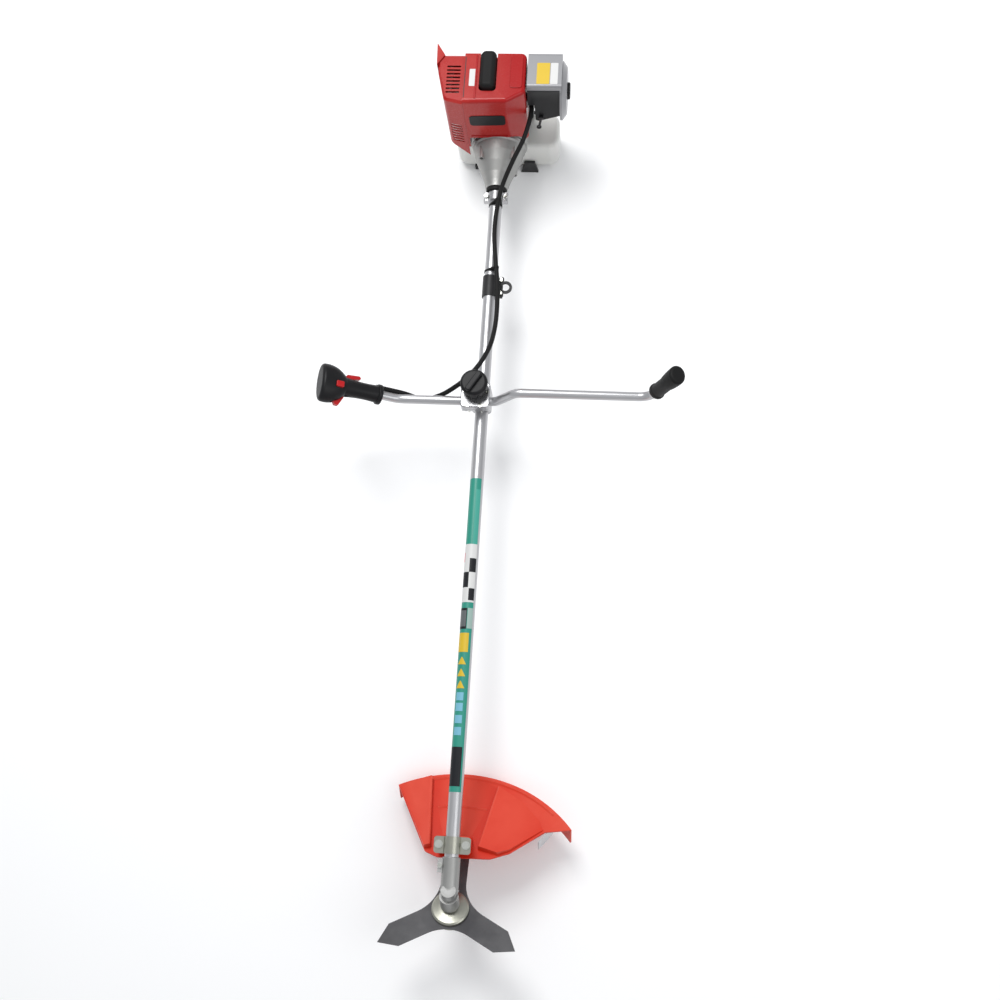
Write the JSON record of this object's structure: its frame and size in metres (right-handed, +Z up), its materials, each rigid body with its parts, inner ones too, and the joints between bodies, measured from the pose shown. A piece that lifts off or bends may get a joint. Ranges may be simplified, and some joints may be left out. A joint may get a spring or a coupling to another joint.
{
  "type": "brush cutter",
  "caption": "Straight-shaft petrol brush cutter with a two-handed bar, bladed head under a fan guard, and engine with tank and air cleaner at the far end.",
  "frame": {"origin": "middle of the footprint, on the floor the tool lies on", "axes": "+Y along the tube from the blade to the engine, +Z up, +X to the side of the right grip and the air cleaner"},
  "size_m": [0.7526, 1.8696, 0.3683],
  "materials": {
    "steel": "brushed",
    "blade_dark": "dark coated steel",
    "zinc": "zinc plated",
    "cast_alloy": "cast",
    "tube_alloy": "drawn",
    "guard_orange": "moulded",
    "cover_red": "moulded",
    "control_red": "moulded",
    "black_plastic": "moulded",
    "cover_silver": "painted",
    "black_rubber": "soft",
    "grey_grip": "soft",
    "tank_clear": "milky",
    "sleeve_print": "printed film",
    "muffler_steel": "heat dulled",
    "plug_white": "ceramic"
  },
  "bodies": {
    "base": {"air_filter_case": "black_plastic", "cable_clips": "black_rubber", "carburettor": "cast_alloy", "clamp_screws": "steel", "clutch_housing": "cast_alloy", "crankcase": "cast_alloy", "cylinder": "cast_alloy", "engine_cover": "cover_red", "fuel_tank": "tank_clear", "gear_bearings": "steel", "gear_case": "cast_alloy", "guard": "guard_orange", "guard_bolts": "steel", "guard_bracket": "zinc", "handlebar": "tube_alloy", "handlebar_bracket": "tube_alloy", "handlebar_cap": "tube_alloy", "hanger_band": "black_plastic", "hanger_eye": "black_plastic", "line_knife": "steel", "main_tube": "tube_alloy", "muffler": "muffler_steel", "muffler_cover": "cover_red", "right_grip": "grey_grip", "right_grip_cap": "black_rubber", "rubber_ring": "black_rubber", "shaft_bushes": "black_plastic", "spark_plug": "plug_white", "starter_housing": "black_plastic", "tank_stand": "black_plastic", "throttle_cable": "black_rubber", "throttle_grip": "black_plastic", "tube_coupler": "tube_alloy", "tube_decal": "sleeve_print"},
    "blade_set": {"output_shaft": "steel", "bevel_gear": "steel", "blade_holder": "zinc", "blade": "blade_dark", "stabiliser_cup": "zinc", "blade_nut": "steel"},
    "drive": {"drive_shaft": "steel", "bevel_pinion": "steel", "clutch_drum": "steel"},
    "crank": {"crankshaft": "steel", "flywheel": "cast_alloy", "clutch_shoes": "steel"},
    "piston_rod": {"piston": "cast_alloy", "connecting_rod": "steel"},
    "trigger": {"throttle_trigger": "control_red"},
    "lock": {"lock_lever": "control_red"},
    "switch": {"stop_switch": "control_red"},
    "bar_knob": {"clamp_knob": "black_plastic"},
    "boot": {"plug_cap": "black_rubber"},
    "choke": {"choke_lever": "black_plastic"},
    "throttle_arm": {"throttle_lever": "steel"},
    "filter_lid": {"air_filter_cover": "cover_silver"},
    "lid_knob": {"cover_knob": "black_plastic"},
    "tank_cap": {"fuel_cap": "black_plastic"},
    "pull_handle": {"starter_handle": "black_plastic"},
    "pulley": {"starter_pulley": "black_plastic"}
  },
  "joints": [
    {"name": "blade_spin", "type": "hinge", "parent": "base", "child": "blade_set", "pos_m": [-0.04036, -0.83894, 0.19083], "axis": [0, 0.5301, 0.8479], "continuous": true},
    {"name": "drive_spin", "type": "hinge", "parent": "base", "child": "drive", "pos_m": [-0.04036, -0.06642, 0.16366], "axis": [0, 0.9994, -0.0351], "continuous": true},
    {"name": "crank_spin", "type": "hinge", "parent": "base", "child": "crank", "pos_m": [-0.04036, 0.85301, 0.13133], "axis": [0, 0.9994, -0.0351], "continuous": true},
    {"name": "piston_stroke", "type": "slide", "parent": "base", "child": "piston_rod", "axis": [0, -0.0351, -0.9994], "range_m": [0, 0.034]},
    {"name": "throttle_squeeze", "type": "hinge", "parent": "base", "child": "trigger", "pos_m": [-0.3366, 0.14732, 0.26621], "axis": [0.5, 0.0304, 0.8655], "range_deg": [0, 20], "stiffness_Nm_per_rad": 0.4, "springref_deg": -20.05},
    {"name": "lock_press", "type": "hinge", "parent": "base", "child": "lock", "pos_m": [-0.31668, 0.1749, 0.25374], "axis": [-0.5, -0.0304, -0.8655], "range_deg": [0, 7], "stiffness_Nm_per_rad": 0.4, "springref_deg": -11.46},
    {"name": "switch_press", "type": "slide", "parent": "base", "child": "switch", "axis": [-0.5, -0.0304, -0.8655], "range_m": [0, 0.0025], "stiffness_N_per_m": 300, "springref_m": -0.002},
    {"name": "knob_turn", "type": "hinge", "parent": "base", "child": "bar_knob", "pos_m": [-0.05136, 0.18424, 0.2349], "axis": [0, 0.0351, 0.9994], "range_deg": [0, 1080]},
    {"name": "boot_pull", "type": "slide", "parent": "base", "child": "boot", "axis": [0, 0.0351, 0.9994], "range_m": [0, 0.03]},
    {"name": "choke_turn", "type": "hinge", "parent": "base", "child": "choke", "pos_m": [0.05664, 0.81299, 0.21679], "axis": [0, -0.9994, 0.0351], "range_deg": [0, 75]},
    {"name": "throttle_arm_turn", "type": "hinge", "parent": "base", "child": "throttle_arm", "pos_m": [0.01864, 0.85898, 0.24419], "axis": [0, 0.0351, 0.9994], "range_deg": [0, 60]},
    {"name": "filter_lid_pull", "type": "slide", "parent": "base", "child": "filter_lid", "axis": [1, 0, 0], "range_m": [0, 0.08]},
    {"name": "lid_knob_turn", "type": "hinge", "parent": "filter_lid", "child": "lid_knob", "pos_m": [0.11364, 0.86023, 0.25115], "axis": [1, 0, 0], "range_deg": [0, 1080]},
    {"name": "tank_cap_turn", "type": "hinge", "parent": "base", "child": "tank_cap", "pos_m": [0.02564, 0.90845, 0.05733], "axis": [0, 0.9994, -0.0351], "range_deg": [0, 540]},
    {"name": "starter_pull", "type": "slide", "parent": "base", "child": "pull_handle", "axis": [1, 0, 0], "range_m": [0, 0.6], "stiffness_N_per_m": 4, "springref_m": -0.05},
    {"name": "pulley_turn", "type": "hinge", "parent": "base", "child": "pulley", "pos_m": [-0.04036, 0.90398, 0.12953], "axis": [0, -0.9994, 0.0351], "range_deg": [0, 1570]}
  ],
  "couplings": [
    {"joint": "drive_spin", "follows": "blade_spin", "ratio": 1.3333},
    {"joint": "throttle_arm_turn", "follows": "throttle_squeeze", "ratio": 3},
    {"joint": "pulley_turn", "follows": "starter_pull", "rad_per_m": 45.455}
  ]
}
